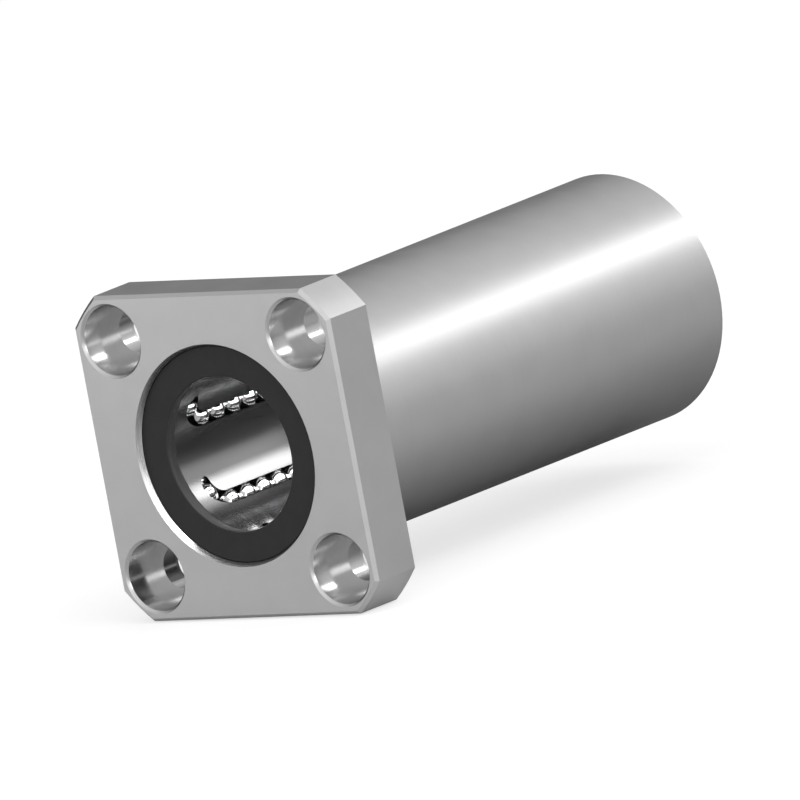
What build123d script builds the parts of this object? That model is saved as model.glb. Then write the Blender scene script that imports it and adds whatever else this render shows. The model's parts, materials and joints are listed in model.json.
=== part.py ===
from build123d import *
from math import cos, radians, sin, sqrt
import os

# A flanged linear ball bearing of the long type, with a square flange at one end.
#
# The bore's axis is Y and Z is up. The flange's rear face, which seats on the housing, is the
# plane y = 0: the flange reaches forward from it, to -Y, and the sleeve reaches back, to +Y.
# Lengths are in millimetres. Angles are in degrees, from +X towards +Z, as seen from the front.

# Sleeve, built outwards from the shaft that it runs on
shaft_radius = 10.0
ball_space = 4.0
sleeve_wall = 2.0
sleeve_length = 72.0
sleeve_end_chamfer = 0.4
bore_mouth_width = 0.4
bore_mouth_depth = 0.8
seat_relief_width = 1.0
seat_relief_depth = 0.3

# Flange
flange_width = 42.0
flange_thickness = 8.0
flange_corner_wall = 1.0
flange_chamfer = 0.45

# Screw holes
hole_circle_reach = 0.5
hole_count = 4
first_hole_angle = 45.0
hole_radius = 2.75
counterbore_radius = 4.5
counterbore_depth = 5.1
counterbore_chamfer = 0.35

# End seals
seal_thickness = 1.9
seal_bore_clearance = 0.03
seal_edge_chamfer = 0.1
lip_shaft_clearance = 0.05
lip_width = 0.6

# Retaining rings, in grooves inside the sleeve
ring_thickness = 1.0
ring_width = 1.9
ring_groove_depth = 0.6
ring_groove_clearance = 0.1
ring_gap_angle = 24.0
ring_gap_middle = 270.0

# Balls
ball_radius = 1.5875
ball_shaft_clearance = 0.03
ball_land_clearance = 0.015
ball_bore_clearance = 0.06
ball_pitch = 3.2
row_end_play = 0.3

# Closed ball circuits, each with a loaded lane and a returning lane
circuit_count = 6
first_lane_angle = 43.0
return_lane_turn = -24.0
track_clearance = 0.04
land_half_angle = 9.5
land_end_relief = 0.4

# Ball cages, one behind the other
cage_names = ("front", "rear")
cage_shaft_clearance = 0.4
cage_bore_clearance = 0.05
cage_land_clearance = 0.2
cage_key_clearance_angle = 1.3
cage_end_wall = 0.6
cage_end_clearance = 0.05
cage_nose_clearance = 0.2
cage_rim_chamfer = 0.1

# How fine the steps are that space the balls, and how near a rim's radius is to the one meant
pitch_step = 0.004
rim_tolerance = 0.01

# Radii that follow from these sizes
bore_radius = shaft_radius + ball_space
sleeve_radius = bore_radius + sleeve_wall
hole_circle_radius = flange_width / 2 + hole_circle_reach
flange_corner_radius = hole_circle_radius + counterbore_radius + flange_corner_wall
ring_outer_radius = bore_radius + ring_groove_depth - ring_groove_clearance
ring_inner_radius = ring_outer_radius - ring_width
cage_bore_radius = shaft_radius + cage_shaft_clearance
cage_nose_radius = ring_inner_radius - cage_nose_clearance

# Places along the axis
front_face = -flange_thickness
rear_face = sleeve_length
seal_outer_depth = bore_mouth_depth
seal_inner_depth = seal_outer_depth + seal_thickness
ring_inner_depth = seal_inner_depth + ring_thickness
cage_space = rear_face - front_face - 2 * ring_inner_depth
cage_pitch = cage_space / len(cage_names)
cage_length = cage_pitch - 2 * cage_end_clearance

# Radii and lengths of a circuit's track
track_radius = ball_radius + track_clearance
load_lane_radius = shaft_radius + ball_shaft_clearance + ball_radius
return_lane_radius = bore_radius - ball_bore_clearance - ball_radius
land_radius = load_lane_radius + ball_radius + ball_land_clearance
lane_spacing = sqrt(
    load_lane_radius**2
    + return_lane_radius**2
    - 2 * load_lane_radius * return_lane_radius * cos(radians(return_lane_turn))
)
turn_radius = lane_spacing / 2
lane_length = cage_length - 2 * (cage_end_wall + track_radius + turn_radius)
loaded_ball_count = int(lane_length / ball_pitch)
lane_angles = [first_lane_angle + i * 360 / circuit_count for i in range(circuit_count)]


def stretch(outline, y_front, y_rear):
    """The solid of an outline, drawn as seen from the front, from one place on the axis to another."""
    return extrude(Plane.XZ.offset(-y_rear) * outline, amount=y_rear - y_front)


def from_end(end, depth):
    """The place on the axis at a depth inside the front or the rear end."""
    if end == "front":
        return front_face + depth
    return rear_face - depth


def turned(end, profile):
    """The ring turned from a profile of (radius, depth inside the end) points."""
    points = [(radius, from_end(end, depth)) for radius, depth in profile]
    return revolve(make_face(Polyline(*points, close=True)), axis=Axis.Y)


def lane_wedges(half_angle):
    """Wedges from the axis outwards, one about each loaded lane."""
    reach = flange_width
    edge = (reach * cos(radians(half_angle)), reach * sin(radians(half_angle)))
    wedge = make_face(Polyline((0, 0), (edge[0], -edge[1]), edge, close=True))
    return Sketch() + [Rot(0, 0, angle) * wedge for angle in lane_angles]


def cage_middle(cage):
    """The middle of a cage on the axis."""
    return from_end("front", ring_inner_depth) + (cage_names.index(cage) + 0.5) * cage_pitch


# The flanged sleeve


def flange():
    outline = Rectangle(flange_width, flange_width) & Circle(flange_corner_radius)
    plate = stretch(outline, front_face, 0)
    return chamfer(plate.faces().filter_by(Axis.Y).edges(), flange_chamfer)


def sleeve():
    tube = stretch(Circle(sleeve_radius), front_face / 2, rear_face)
    return chamfer(tube.faces().sort_by(Axis.Y)[-1].edges(), sleeve_end_chamfer)


def seat_relief():
    """A shallow groove in the flange's rear face, round the sleeve, that clears the housing's edge."""
    ring = Circle(sleeve_radius + seat_relief_width) - Circle(sleeve_radius)
    return stretch(ring, -seat_relief_depth, 0)


def screw_holes():
    """Through holes, counterbored from the front face."""
    centres = PolarLocations(hole_circle_radius, hole_count, first_hole_angle)
    holes = Sketch() + [place * Circle(hole_radius) for place in centres]
    counterbores = Sketch() + [place * Circle(counterbore_radius) for place in centres]
    through = stretch(holes, front_face, 0)
    return through + stretch(counterbores, front_face, front_face + counterbore_depth)


def raceway_lands():
    """The raised strips that the loaded balls roll on, one over each loaded lane."""
    outline = (Circle(sleeve_radius) - Circle(land_radius)) & lane_wedges(land_half_angle)
    reach = lane_length / 2 - land_end_relief
    strips = [
        stretch(outline, cage_middle(cage) - reach, cage_middle(cage) + reach)
        for cage in cage_names
    ]
    return Part() + strips


def ring_grooves():
    space = ring_groove_clearance / 2
    groove_radius = bore_radius + ring_groove_depth
    inner, outer = seal_inner_depth - space, ring_inner_depth + space
    profile = [(0, inner), (groove_radius, inner), (groove_radius, outer), (0, outer)]
    return Part() + [turned(end, profile) for end in ("front", "rear")]


def bore_mouths():
    """The long, slight chamfers that lead the seals into the bore."""
    mouth_radius = bore_radius + bore_mouth_width
    profile = [(0, 0), (mouth_radius, 0), (bore_radius, bore_mouth_depth), (0, bore_mouth_depth)]
    return Part() + [turned(end, profile) for end in ("front", "rear")]


def bore_space():
    """What is cut out of the sleeve: its bore, without the raceway lands, its mouths and the
    ring grooves."""
    bore = stretch(Circle(bore_radius), front_face, rear_face)
    return bore - raceway_lands() + ring_grooves() + bore_mouths()


def flanged_sleeve():
    body = flange() + sleeve() - seat_relief() - screw_holes() - bore_space()
    face = body.faces().filter_by(Axis.Y).sort_by(Axis.Y)[0]
    circles = face.edges().filter_by(GeomType.CIRCLE)
    rims = circles.filter_by(lambda edge: abs(edge.radius - counterbore_radius) < rim_tolerance)
    hole_offset = hole_circle_radius * cos(radians(first_hole_angle))
    side_wall = flange_width / 2 - flange_chamfer - hole_offset - counterbore_radius
    return chamfer(rims, min(counterbore_chamfer, side_wall / 2))


# Seals and retaining rings


def seal(end):
    """A rubber ring whose lip, flush with its outer face, wipes the shaft. Behind the lip it
    widens to the cage's bore."""
    outer = bore_radius - seal_bore_clearance
    lip = shaft_radius + lip_shaft_clearance
    edge = seal_edge_chamfer
    profile = [
        (lip + edge, seal_outer_depth),
        (outer - edge, seal_outer_depth),
        (outer, seal_outer_depth + edge),
        (outer, seal_inner_depth),
        (cage_bore_radius, seal_inner_depth),
        (lip, seal_outer_depth + lip_width),
        (lip, seal_outer_depth + edge),
    ]
    return turned(end, profile)


def retaining_ring(end):
    """A flat spring ring with a gap, which sits in its groove between the seal and the cage."""
    reach = 2 * ring_outer_radius
    half_gap = radians(ring_gap_angle / 2)
    side = (reach * cos(half_gap), reach * sin(half_gap))
    gap = make_face(Polyline((0, 0), (side[0], -side[1]), side, close=True))
    outline = Circle(ring_outer_radius) - Circle(ring_inner_radius) - Rot(0, 0, ring_gap_middle) * gap
    ends = sorted((from_end(end, seal_inner_depth), from_end(end, ring_inner_depth)))
    return stretch(outline, ends[0], ends[1])


# Ball circuits


def circuit_plane(cage, angle):
    """The plane through a circuit's two lanes: x runs along the bearing, y from the returning
    lane to the loaded lane, and z outwards."""
    loaded = Vector(load_lane_radius, 0, 0).rotate(Axis.Y, -angle)
    returning = Vector(return_lane_radius, 0, 0).rotate(Axis.Y, -angle - return_lane_turn)
    centre = (loaded + returning) / 2 + Vector(0, cage_middle(cage), 0)
    outwards = Vector(0, 1, 0).cross(loaded - returning)
    return Plane(origin=centre, x_dir=(0, 1, 0), z_dir=outwards)


def ball_track():
    """The space of one circuit in its own plane: a round-bottomed groove, open outwards, that
    runs along both lanes and round the half turns."""
    reach = 2 * ball_radius
    section = Circle(track_radius) + Pos(0, reach / 2) * Rectangle(2 * track_radius, reach)
    front = Plane.YZ.offset(-lane_length / 2)
    rear = Plane.YZ.offset(lane_length / 2)
    lanes = [
        extrude(front * Pos(side, 0) * section, amount=lane_length)
        for side in (-turn_radius, turn_radius)
    ]
    turn_axis = Axis((lane_length / 2, 0, 0), (0, 0, -1))
    turn = revolve(rear * Pos(turn_radius, 0) * section, axis=turn_axis, revolution_arc=180)
    return Part() + lanes + [turn, mirror(turn, Plane.YZ)]


def track_point(distance):
    """The place on the track at a distance from the middle of the returning lane."""
    past_lane = distance - lane_length / 2
    if past_lane <= 0:
        return Vector(distance, -turn_radius)
    turn = past_lane / turn_radius
    return Vector(lane_length / 2 + turn_radius * sin(turn), -turn_radius * cos(turn))


def next_ball(distance):
    """Where the next returning ball lies, one pitch from the last in a straight line."""
    ahead = distance + ball_pitch
    while (track_point(ahead) - track_point(distance)).length < ball_pitch:
        ahead += pitch_step
    return ahead


def loaded_places():
    """The loaded balls lie in a row, pushed up to the front end of their lane."""
    first = row_end_play - lane_length / 2
    return [Vector(first + i * ball_pitch, turn_radius) for i in range(loaded_ball_count)]


def returning_places():
    """The returning balls lie close together, half of them on each side of the middle, and fill
    both ends of the track as far as the row leaves room at the front end."""
    row_end = Vector(-loaded_places()[0].X, turn_radius)
    places = []
    distance = ball_pitch / 2
    while (track_point(distance) - row_end).length > ball_pitch:
        point = track_point(distance)
        places += [point, Vector(-point.X, point.Y)]
        distance = next_ball(distance)
    return places


def balls(cage, angle, places):
    plane = circuit_plane(cage, angle)
    return Compound([Pos(plane.from_local_coords(p)) * Sphere(ball_radius) for p in places])


# Ball cages


def cage_outline():
    """The cage's section: it clears the raceway lands, which key it against turning."""
    under_lands = Circle(land_radius - cage_land_clearance)
    between_lands = Circle(bore_radius - cage_bore_clearance)
    keys = lane_wedges(land_half_angle + cage_key_clearance_angle)
    return under_lands + (between_lands - keys) - Circle(cage_bore_radius)


def cage_nose(cage):
    """The collar at a cage's outer end, which reaches through the retaining ring to the seal."""
    ends = [
        from_end(cage, seal_inner_depth + cage_end_clearance),
        from_end(cage, ring_inner_depth + cage_end_clearance),
    ]
    collar = Circle(cage_nose_radius) - Circle(cage_bore_radius)
    return stretch(collar, min(ends), max(ends))


def ball_cage(cage):
    """A cage between the shaft and the sleeve, with a closed track for each ball circuit."""
    centre = cage_middle(cage)
    body = stretch(cage_outline(), centre - cage_length / 2, centre + cage_length / 2)
    body += cage_nose(cage)
    ends = body.faces().filter_by(Axis.Y).edges().filter_by(GeomType.CIRCLE)
    rims = ends.filter_by(lambda edge: abs(edge.radius - cage_bore_radius) < rim_tolerance)
    body = chamfer(rims, cage_rim_chamfer)
    track = ball_track()
    return body - [circuit_plane(cage, angle) * track for angle in lane_angles]


def write(name, shape):
    export_step(shape, os.path.join("parts", name + ".step"))


os.makedirs("parts", exist_ok=True)
write("flanged_sleeve", flanged_sleeve())
for end in ("front", "rear"):
    write(end + "_seal", seal(end))
    write(end + "_retaining_ring", retaining_ring(end))
for cage in cage_names:
    write(cage + "_ball_cage", ball_cage(cage))
    for number, angle in enumerate(lane_angles, 1):
        write(f"{cage}_loaded_balls_{number}", balls(cage, angle, loaded_places()))
        write(f"{cage}_returning_balls_{number}", balls(cage, angle, returning_places()))
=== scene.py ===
import json
import math

import bmesh
import bpy
from mathutils import Matrix, Vector

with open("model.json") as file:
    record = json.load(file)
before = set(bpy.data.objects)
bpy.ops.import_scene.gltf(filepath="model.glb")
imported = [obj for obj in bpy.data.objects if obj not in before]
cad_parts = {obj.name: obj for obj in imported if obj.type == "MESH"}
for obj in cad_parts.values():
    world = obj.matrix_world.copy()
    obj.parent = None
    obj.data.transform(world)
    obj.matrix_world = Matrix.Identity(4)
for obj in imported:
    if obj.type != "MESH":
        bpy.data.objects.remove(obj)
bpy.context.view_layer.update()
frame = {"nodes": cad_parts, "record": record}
nodes = frame["nodes"]

# Sizes of the bearing, in metres, as the solids have them.
FRONT_FACE = -0.008
FLANGE_HALF = 0.021
SLEEVE_RADIUS = 0.016
BORE_RADIUS = 0.014
COUNTERBORE_RADIUS = 0.0045
SCREW_OFFSET = 0.0152028


# Node helpers for the finishes.

def new_finish(name):
    finish = bpy.data.materials.new(name)
    finish.use_nodes = True
    tree = finish.node_tree
    shader = tree.nodes["Principled BSDF"]
    return finish, tree, shader


def wire(tree, value, socket):
    if isinstance(value, bpy.types.NodeSocket):
        tree.links.new(value, socket)
    else:
        socket.default_value = value


def calc(tree, operation, first, second=0.0, third=0.0, clamp=False):
    step = tree.nodes.new("ShaderNodeMath")
    step.operation = operation
    step.use_clamp = clamp
    for value, socket in zip((first, second, third), step.inputs):
        wire(tree, value, socket)
    return step.outputs[0]


def varied(tree, pattern, amount, middle):
    """The middle value, moved up and down by a pattern that runs from 0 to 1."""
    return calc(tree, "MULTIPLY_ADD", calc(tree, "SUBTRACT", pattern, 0.5), amount, middle)


def spread(tree, value, low, high, low_out, high_out):
    step = tree.nodes.new("ShaderNodeMapRange")
    step.interpolation_type = "SMOOTHSTEP"
    numbers = (value, low, high, low_out, high_out)
    for number, socket in zip(numbers, step.inputs):
        wire(tree, number, socket)
    return step.outputs[0]


def grain(tree, vector, scale, detail=2.0, roughness=0.5):
    texture = tree.nodes.new("ShaderNodeTexNoise")
    wire(tree, vector, texture.inputs["Vector"])
    texture.inputs["Scale"].default_value = scale
    texture.inputs["Detail"].default_value = detail
    texture.inputs["Roughness"].default_value = roughness
    return texture.outputs["Fac"]


def mixed(tree, fac, first, second):
    step = tree.nodes.new("ShaderNodeMix")
    step.data_type = "FLOAT"
    wire(tree, fac, step.inputs[0])
    wire(tree, first, step.inputs[2])
    wire(tree, second, step.inputs[3])
    return step.outputs[0]


def grey(tree, value, tint=(1.0, 1.0, 1.0)):
    """A colour of the given brightness, with a slight tint."""
    join = tree.nodes.new("ShaderNodeCombineColor")
    for part, socket in zip(tint, join.inputs):
        wire(tree, calc(tree, "MULTIPLY", value, part), socket)
    return join.outputs[0]


def length_of(tree, across, up):
    squares = [calc(tree, "MULTIPLY", side, side) for side in (across, up)]
    return calc(tree, "SQRT", calc(tree, "ADD", *squares))


def place(tree):
    """Object coordinates, their three parts, and the distance from the bore's axis."""
    where = tree.nodes.new("ShaderNodeTexCoord").outputs["Object"]
    split = tree.nodes.new("ShaderNodeSeparateXYZ")
    tree.links.new(where, split.inputs[0])
    x, y, z = split.outputs
    return where, x, y, z, length_of(tree, x, z)


def vector_of(tree, x, y, z):
    join = tree.nodes.new("ShaderNodeCombineXYZ")
    for value, socket in zip((x, y, z), join.inputs):
        wire(tree, value, socket)
    return join.outputs[0]


def bumped(tree, shader, height, strength, distance, normal=None):
    bump = tree.nodes.new("ShaderNodeBump")
    bump.inputs["Strength"].default_value = strength
    bump.inputs["Distance"].default_value = distance
    tree.links.new(height, bump.inputs["Height"])
    if normal:
        tree.links.new(normal, bump.inputs["Normal"])
    tree.links.new(bump.outputs[0], shader.inputs["Normal"])


# Finishes.

GROUND_ROUGHNESS = 0.38
BORE_ROUGHNESS = 0.16
COUNTERBORE_ROUGHNESS = 0.20
STEEL_TONE = 0.62
FACET_SAG = 0.00002  # the mesh's facets lie less than this inside the true cylinder


def distance_from_screw_hole(tree, x, z):
    """Distance from the axis of the nearest screw hole."""
    offsets = [
        calc(tree, "SUBTRACT", calc(tree, "ABSOLUTE", side), SCREW_OFFSET) for side in (x, z)
    ]
    return length_of(tree, *offsets)


def counterbore_share(tree, from_hole, y):
    """1 inside the counterbores and screw holes, 0 on the flange's two faces."""
    in_hole = spread(
        tree, from_hole, COUNTERBORE_RADIUS + 0.00005, COUNTERBORE_RADIUS + 0.0004, 1.0, 0.0
    )
    behind_face = spread(tree, y, FRONT_FACE + 0.0001, FRONT_FACE + 0.00035, 0.0, 1.0)
    before_back = spread(tree, y, -0.0006, -0.0003, 1.0, 0.0)
    return calc(tree, "MULTIPLY", in_hole, calc(tree, "MULTIPLY", behind_face, before_back))


def true_wall_normal(tree, x, y, z, radius):
    """On the sleeve's outside the normal of the true cylinder, elsewhere the mesh's own."""
    outward = tree.nodes.new("ShaderNodeVectorTransform")
    outward.vector_type = "NORMAL"
    outward.convert_from = "OBJECT"
    outward.convert_to = "WORLD"
    tree.links.new(vector_of(tree, x, 0.0, z), outward.inputs[0])
    far_out = calc(tree, "GREATER_THAN", radius, SLEEVE_RADIUS - FACET_SAG)
    behind_flange = calc(tree, "GREATER_THAN", y, 0.0)
    choice = tree.nodes.new("ShaderNodeMix")
    choice.data_type = "VECTOR"
    tree.links.new(calc(tree, "MULTIPLY", far_out, behind_flange), choice.inputs[0])
    tree.links.new(tree.nodes.new("ShaderNodeNewGeometry").outputs["Normal"], choice.inputs[4])
    tree.links.new(outward.outputs[0], choice.inputs[5])
    return choice.outputs[1]


def ground_bearing_steel():
    """Fine-ground steel: ring marks on sleeve and bore, satin flange, turned counterbores."""
    finish, tree, shader = new_finish("ground_bearing_steel")
    where, x, y, z, radius = place(tree)

    # Grinding marks run round the axis: they change along y and the radius only.
    rings = grain(tree, vector_of(tree, 0.0, y, radius), 5200.0, 3.0, 0.6)
    patches = grain(tree, where, 260.0, 2.0, 0.5)
    satin = grain(tree, where, 7000.0, 3.0, 0.65)
    from_hole = distance_from_screw_hole(tree, x, z)
    turned = grain(tree, vector_of(tree, from_hole, y, 0.0), 9000.0, 2.0, 0.5)

    in_counterbore = counterbore_share(tree, from_hole, y)
    on_sleeve = spread(tree, y, 0.0004, 0.0010, 0.0, 1.0)
    in_bore = spread(tree, radius, BORE_RADIUS - 0.00005, BORE_RADIUS + 0.0005, 1.0, 0.0)

    marks = mixed(tree, on_sleeve, satin, rings)
    marks = mixed(tree, in_bore, marks, rings)
    marks = mixed(tree, in_counterbore, marks, turned)

    rough = mixed(tree, in_bore, GROUND_ROUGHNESS, BORE_ROUGHNESS)
    rough = mixed(tree, in_counterbore, rough, COUNTERBORE_ROUGHNESS)
    rough = varied(tree, patches, 0.05, rough)
    rough = varied(tree, marks, 0.10, rough)
    tree.links.new(rough, shader.inputs["Roughness"])

    tone = varied(tree, patches, 0.04, STEEL_TONE)
    tone = varied(tree, marks, 0.05, tone)
    tree.links.new(grey(tree, tone, (1.0, 1.0, 1.004)), shader.inputs["Base Color"])
    shader.inputs["Metallic"].default_value = 1.0
    bumped(tree, shader, marks, 0.12, 0.000004, true_wall_normal(tree, x, y, z, radius))
    return finish


def moulded_seal_rubber():
    """Black rubber with a fine moulded skin."""
    finish, tree, shader = new_finish("moulded_seal_rubber")
    where = place(tree)[0]
    skin = grain(tree, where, 4200.0, 4.0, 0.6)
    bloom = grain(tree, where, 420.0, 3.0, 0.5)
    tone = varied(tree, bloom, 0.010, 0.022)
    tree.links.new(grey(tree, tone, (1.0, 1.0, 1.02)), shader.inputs["Base Color"])
    tree.links.new(varied(tree, skin, 0.16, 0.62), shader.inputs["Roughness"])
    shader.inputs["Specular IOR Level"].default_value = 0.3
    bumped(tree, shader, skin, 0.35, 0.00003)
    return finish


def glossy_cage_resin():
    """Black moulded resin, glossy, with flow marks along the bore."""
    finish, tree, shader = new_finish("glossy_cage_resin")
    where, x, y, z, radius = place(tree)
    flow = grain(tree, vector_of(tree, x, calc(tree, "MULTIPLY", y, 0.2), z), 500.0, 3.0, 0.5)
    skin = grain(tree, where, 5200.0, 2.0, 0.5)
    tone = varied(tree, flow, 0.012, 0.022)
    tree.links.new(grey(tree, tone, (1.0, 1.0, 1.02)), shader.inputs["Base Color"])
    tree.links.new(varied(tree, flow, 0.08, 0.215), shader.inputs["Roughness"])
    bumped(tree, shader, skin, 0.10, 0.00001)
    return finish


def stamped_spring_steel():
    """Rolled spring steel, a little warm and dull."""
    finish, tree, shader = new_finish("stamped_spring_steel")
    where, x, y, z, radius = place(tree)
    rolled = grain(tree, vector_of(tree, x, calc(tree, "MULTIPLY", y, 4.0), z), 2600.0, 3.0, 0.6)
    tone = varied(tree, rolled, 0.10, 0.42)
    tree.links.new(grey(tree, tone, (1.0, 0.985, 0.965)), shader.inputs["Base Color"])
    tree.links.new(varied(tree, rolled, 0.2, 0.38), shader.inputs["Roughness"])
    shader.inputs["Metallic"].default_value = 1.0
    bumped(tree, shader, rolled, 0.2, 0.00001)
    return finish


def polished_ball_steel():
    """Polished bearing balls under a thin film."""
    finish, tree, shader = new_finish("polished_ball_steel")
    where = place(tree)[0]
    film = grain(tree, where, 900.0, 2.0, 0.5)
    tone = varied(tree, film, 0.05, 0.70)
    tree.links.new(grey(tree, tone, (1.0, 1.0, 1.01)), shader.inputs["Base Color"])
    tree.links.new(varied(tree, film, 0.06, 0.08), shader.inputs["Roughness"])
    shader.inputs["Metallic"].default_value = 1.0
    return finish


finishes = {
    "bearing_steel": ground_bearing_steel(),
    "seal_rubber": moulded_seal_rubber(),
    "cage_resin": glossy_cage_resin(),
    "spring_steel": stamped_spring_steel(),
    "ball_steel": polished_ball_steel(),
}
slot_of = {part["node"]: part["material_slot"] for part in frame["record"]["subparts"]}
for name, node in nodes.items():
    for slot in node.material_slots:
        slot.material = finishes[slot_of[name]]


# Camera: level lines of the part lean in the picture, so the camera is rolled.

RIGHT = Vector((0.7593, 0.6247, -0.1822)).normalized()
TOWARD = Vector((0.6501, -0.7405, 0.1704)).normalized()
UP = TOWARD.cross(RIGHT)
VIEW_WIDTH = 0.100066
CAMERA_DISTANCE = 0.35
AIM_RIGHT = 0.021866  # from the middle of the front face to the picture's middle
AIM_UP = 0.006963
aim = Vector((0.0, FRONT_FACE, 0.0)) + AIM_RIGHT * RIGHT + AIM_UP * UP
camera_data = bpy.data.cameras.new("camera")
camera_data.type = "ORTHO"
camera_data.ortho_scale = VIEW_WIDTH
camera_data.clip_start = 0.001
camera_data.clip_end = 5.0
camera = bpy.data.objects.new("camera", camera_data)
turn = Matrix((RIGHT, UP, TOWARD)).transposed().to_4x4()
camera.matrix_world = Matrix.Translation(aim + CAMERA_DISTANCE * TOWARD) @ turn
bpy.context.scene.collection.objects.link(camera)
bpy.context.scene.camera = camera
bpy.context.scene.view_settings.view_transform = "Standard"


# Floor, just below the flange's lower side.

FLOOR_HEIGHT = -FLANGE_HALF - 0.0002
FLOOR_REACH = 3.0
FLOOR_PAINT_TONE = 0.42  # of the paint that takes the part's shadow before the camera
FLOOR_LIFT = 0.66  # the floor's own light that makes it white before the camera
FLOOR_TONE = 0.465  # of the floor as the part sees it
PAINTED_SLEEVE_SHADE = 0.30  # painted shade: how much darker the floor is painted under the sleeve, for the rays the part reflects
PAINTED_FOOT_GLEAM = 0.13  # painted light: how much brighter the floor is painted before the flange, for the rays the part reflects


def choose_for_camera(tree, for_others, for_camera):
    """One shader for what the camera sees directly, another for all other rays."""
    rays = tree.nodes.new("ShaderNodeLightPath")
    choice = tree.nodes.new("ShaderNodeMixShader")
    tree.links.new(rays.outputs["Is Camera Ray"], choice.inputs[0])
    tree.links.new(for_others.outputs[0], choice.inputs[1])
    tree.links.new(for_camera.outputs[0], choice.inputs[2])
    return choice.outputs[0]


def floor_shown(tree):
    shown = tree.nodes.new("ShaderNodeAddShader")
    matt = tree.nodes.new("ShaderNodeBsdfDiffuse")
    matt.inputs["Color"].default_value = (FLOOR_PAINT_TONE,) * 3 + (1.0,)
    lift = tree.nodes.new("ShaderNodeEmission")
    lift.inputs["Strength"].default_value = FLOOR_LIFT
    tree.links.new(matt.outputs[0], shown.inputs[0])
    tree.links.new(lift.outputs[0], shown.inputs[1])
    return shown


def floor_reflected(tree):
    plain = tree.nodes.new("ShaderNodeBsdfDiffuse")
    where, x, y, z, radius = place(tree)
    # Painted shade: the floor the part reflects is painted darker under the sleeve, where its
    # shadow falls.
    beside = calc(tree, "MULTIPLY_ADD", calc(tree, "ABSOLUTE", x), 26.0, -0.1, clamp=True)
    behind = spread(tree, y, -0.002, 0.010, 0.0, 1.0)
    before = spread(tree, y, -0.050, -0.010, 0.0, 1.0)
    painted_shade_under_sleeve = calc(tree, "MULTIPLY", behind, calc(tree, "SUBTRACT", 1.0, beside))
    # Painted light: the floor the part reflects is painted brighter before the flange's foot.
    painted_light_at_foot = calc(tree, "MULTIPLY", before, calc(tree, "SUBTRACT", 1.0, behind))
    tone = calc(tree, "MULTIPLY_ADD", painted_shade_under_sleeve, -PAINTED_SLEEVE_SHADE, FLOOR_TONE)
    tone = calc(tree, "MULTIPLY_ADD", painted_light_at_foot, PAINTED_FOOT_GLEAM, tone)
    tree.links.new(grey(tree, tone), plain.inputs["Color"])
    return plain


def studio_floor_white():
    paint = bpy.data.materials.new("studio_floor_white")
    paint.use_nodes = True
    tree = paint.node_tree
    tree.nodes.clear()
    ends = tree.nodes.new("ShaderNodeOutputMaterial")
    seen = choose_for_camera(tree, floor_reflected(tree), floor_shown(tree))
    tree.links.new(seen, ends.inputs[0])
    return paint


floor_mesh = bpy.data.meshes.new("studio_floor")
plane = bmesh.new()
bmesh.ops.create_grid(
    plane,
    x_segments=1,
    y_segments=1,
    size=FLOOR_REACH,
    matrix=Matrix.Translation((0.0, 0.0, FLOOR_HEIGHT)),
)
plane.to_mesh(floor_mesh)
plane.free()
floor_mesh.materials.append(studio_floor_white())
floor = bpy.data.objects.new("studio_floor", floor_mesh)
bpy.context.scene.collection.objects.link(floor)


# World: white behind the part. All round it is a plain room, pale above and to the right, dim to
# the left.

ROOM_TONE = 0.16
ROOM_ABOVE = 0.78
ROOM_RIGHT = 0.60
ROOM_LEFT = 0.36
ROOM_DARKEST = 0.02


def plain_room(tree):
    room = tree.nodes.new("ShaderNodeBackground")
    direction = tree.nodes.new("ShaderNodeSeparateXYZ")
    outlook = tree.nodes.new("ShaderNodeTexCoord").outputs["Generated"]
    tree.links.new(outlook, direction.inputs[0])
    height = calc(tree, "MAXIMUM", direction.outputs[2], 0.0)
    to_right = calc(tree, "MAXIMUM", direction.outputs[0], 0.0)
    to_left = calc(tree, "MINIMUM", direction.outputs[0], 0.0)
    level = calc(tree, "MULTIPLY_ADD", height, ROOM_ABOVE, ROOM_TONE)
    level = calc(tree, "MULTIPLY_ADD", to_right, ROOM_RIGHT, level)
    level = calc(tree, "MULTIPLY_ADD", to_left, ROOM_LEFT, level)
    level = calc(tree, "MAXIMUM", level, ROOM_DARKEST)
    tree.links.new(grey(tree, level), room.inputs["Color"])
    return room


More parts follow.
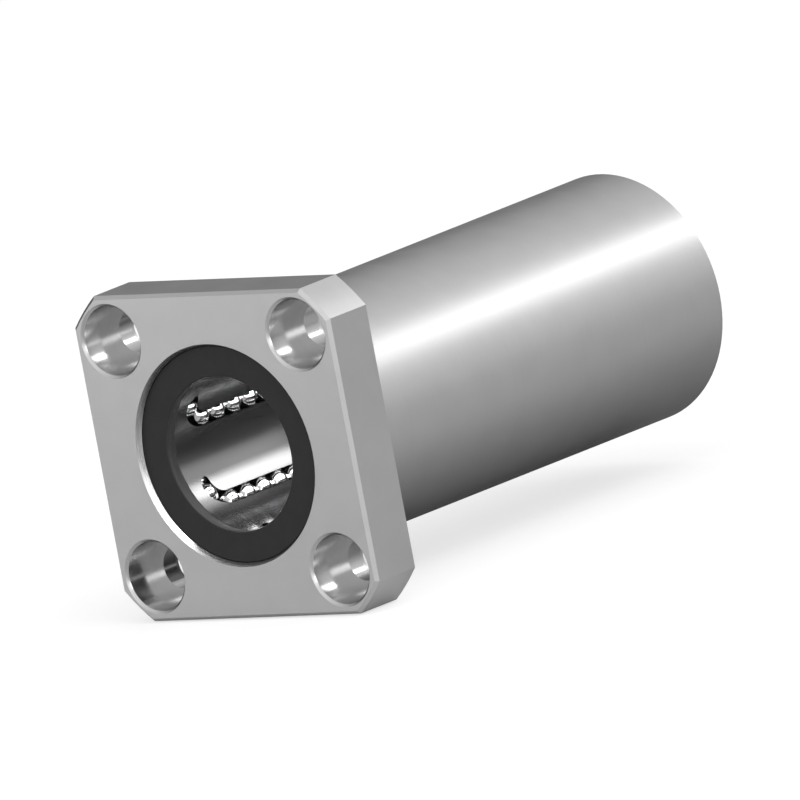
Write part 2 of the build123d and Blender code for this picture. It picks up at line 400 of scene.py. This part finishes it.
world = bpy.data.worlds.new("studio_room")
world.use_nodes = True
bpy.context.scene.world = world
tree = world.node_tree
tree.nodes.clear()
ends = tree.nodes.new("ShaderNodeOutputWorld")
white = tree.nodes.new("ShaderNodeBackground")
white.inputs["Color"].default_value = (1.0, 1.0, 1.0, 1.0)
white.inputs["Strength"].default_value = 1.0
tree.links.new(choose_for_camera(tree, plain_room(tree), white), ends.inputs[0])


# Lamps: soft boxes round the part. A box faces its target from the given direction.

def soft_box(name, direction, distance, width, height, power, target=(0.0, 0.03, 0.0)):
    lamp_data = bpy.data.lights.new(name, "AREA")
    lamp_data.shape = "RECTANGLE"
    lamp_data.size = width
    lamp_data.size_y = height
    lamp_data.energy = power
    lamp = bpy.data.objects.new(name, lamp_data)
    outward = Vector(direction).normalized()
    lamp.location = Vector(target) + distance * outward
    lamp.rotation_euler = outward.to_track_quat("Z", "Y").to_euler()
    bpy.context.scene.collection.objects.link(lamp)
    return lamp


soft_box("back_box", (0.41, 0.75, 0.525), 0.7, 0.15, 0.15, 0.30)
soft_box("right_box", (0.70, -0.12, 0.70), 0.5, 0.42, 0.36, 0.64)
soft_box("low_box", (0.80, -0.58, 0.13), 0.5, 0.30, 0.12, 0.26)
soft_box("front_box", (-0.80, -0.80, 0.44), 0.45, 0.36, 0.36, 0.77, (-0.05, -0.05, 0.0))


# Three narrow lamps inside the bore, which the camera doesn't see. They show as the bright streak
# on the bore's glossy wall, as the streak's soft upper side and as light on the balls in the
# windows.

BORE_LAMP_RADIUS = 0.0078
BORE_LAMP_SPREAD = math.radians(126.0)


def bore_lamp(name, direction, length, width, power, middle, lights_matt_surfaces):
    lamp = soft_box(name, direction, BORE_LAMP_RADIUS, length, width, power, middle)
    lamp.visible_camera = False
    lamp.visible_diffuse = lights_matt_surfaces
    lamp.data.spread = BORE_LAMP_SPREAD


bore_lamp(
    "bore_streak", (0.50, 0.0, 0.87), 0.024, 0.0052, 0.0094, (-0.0011, 0.024, 0.00065), False
)
bore_lamp(
    "bore_streak_side", (0.94, 0.0, 0.34), 0.044, 0.0057, 0.0034, (-0.0001, 0.014, 0.0005), True
)
bore_lamp("bore_top", (-0.09, 0.0, 1.0), 0.028, 0.0060, 0.0042, (0.0, 0.006, 0.0), False)
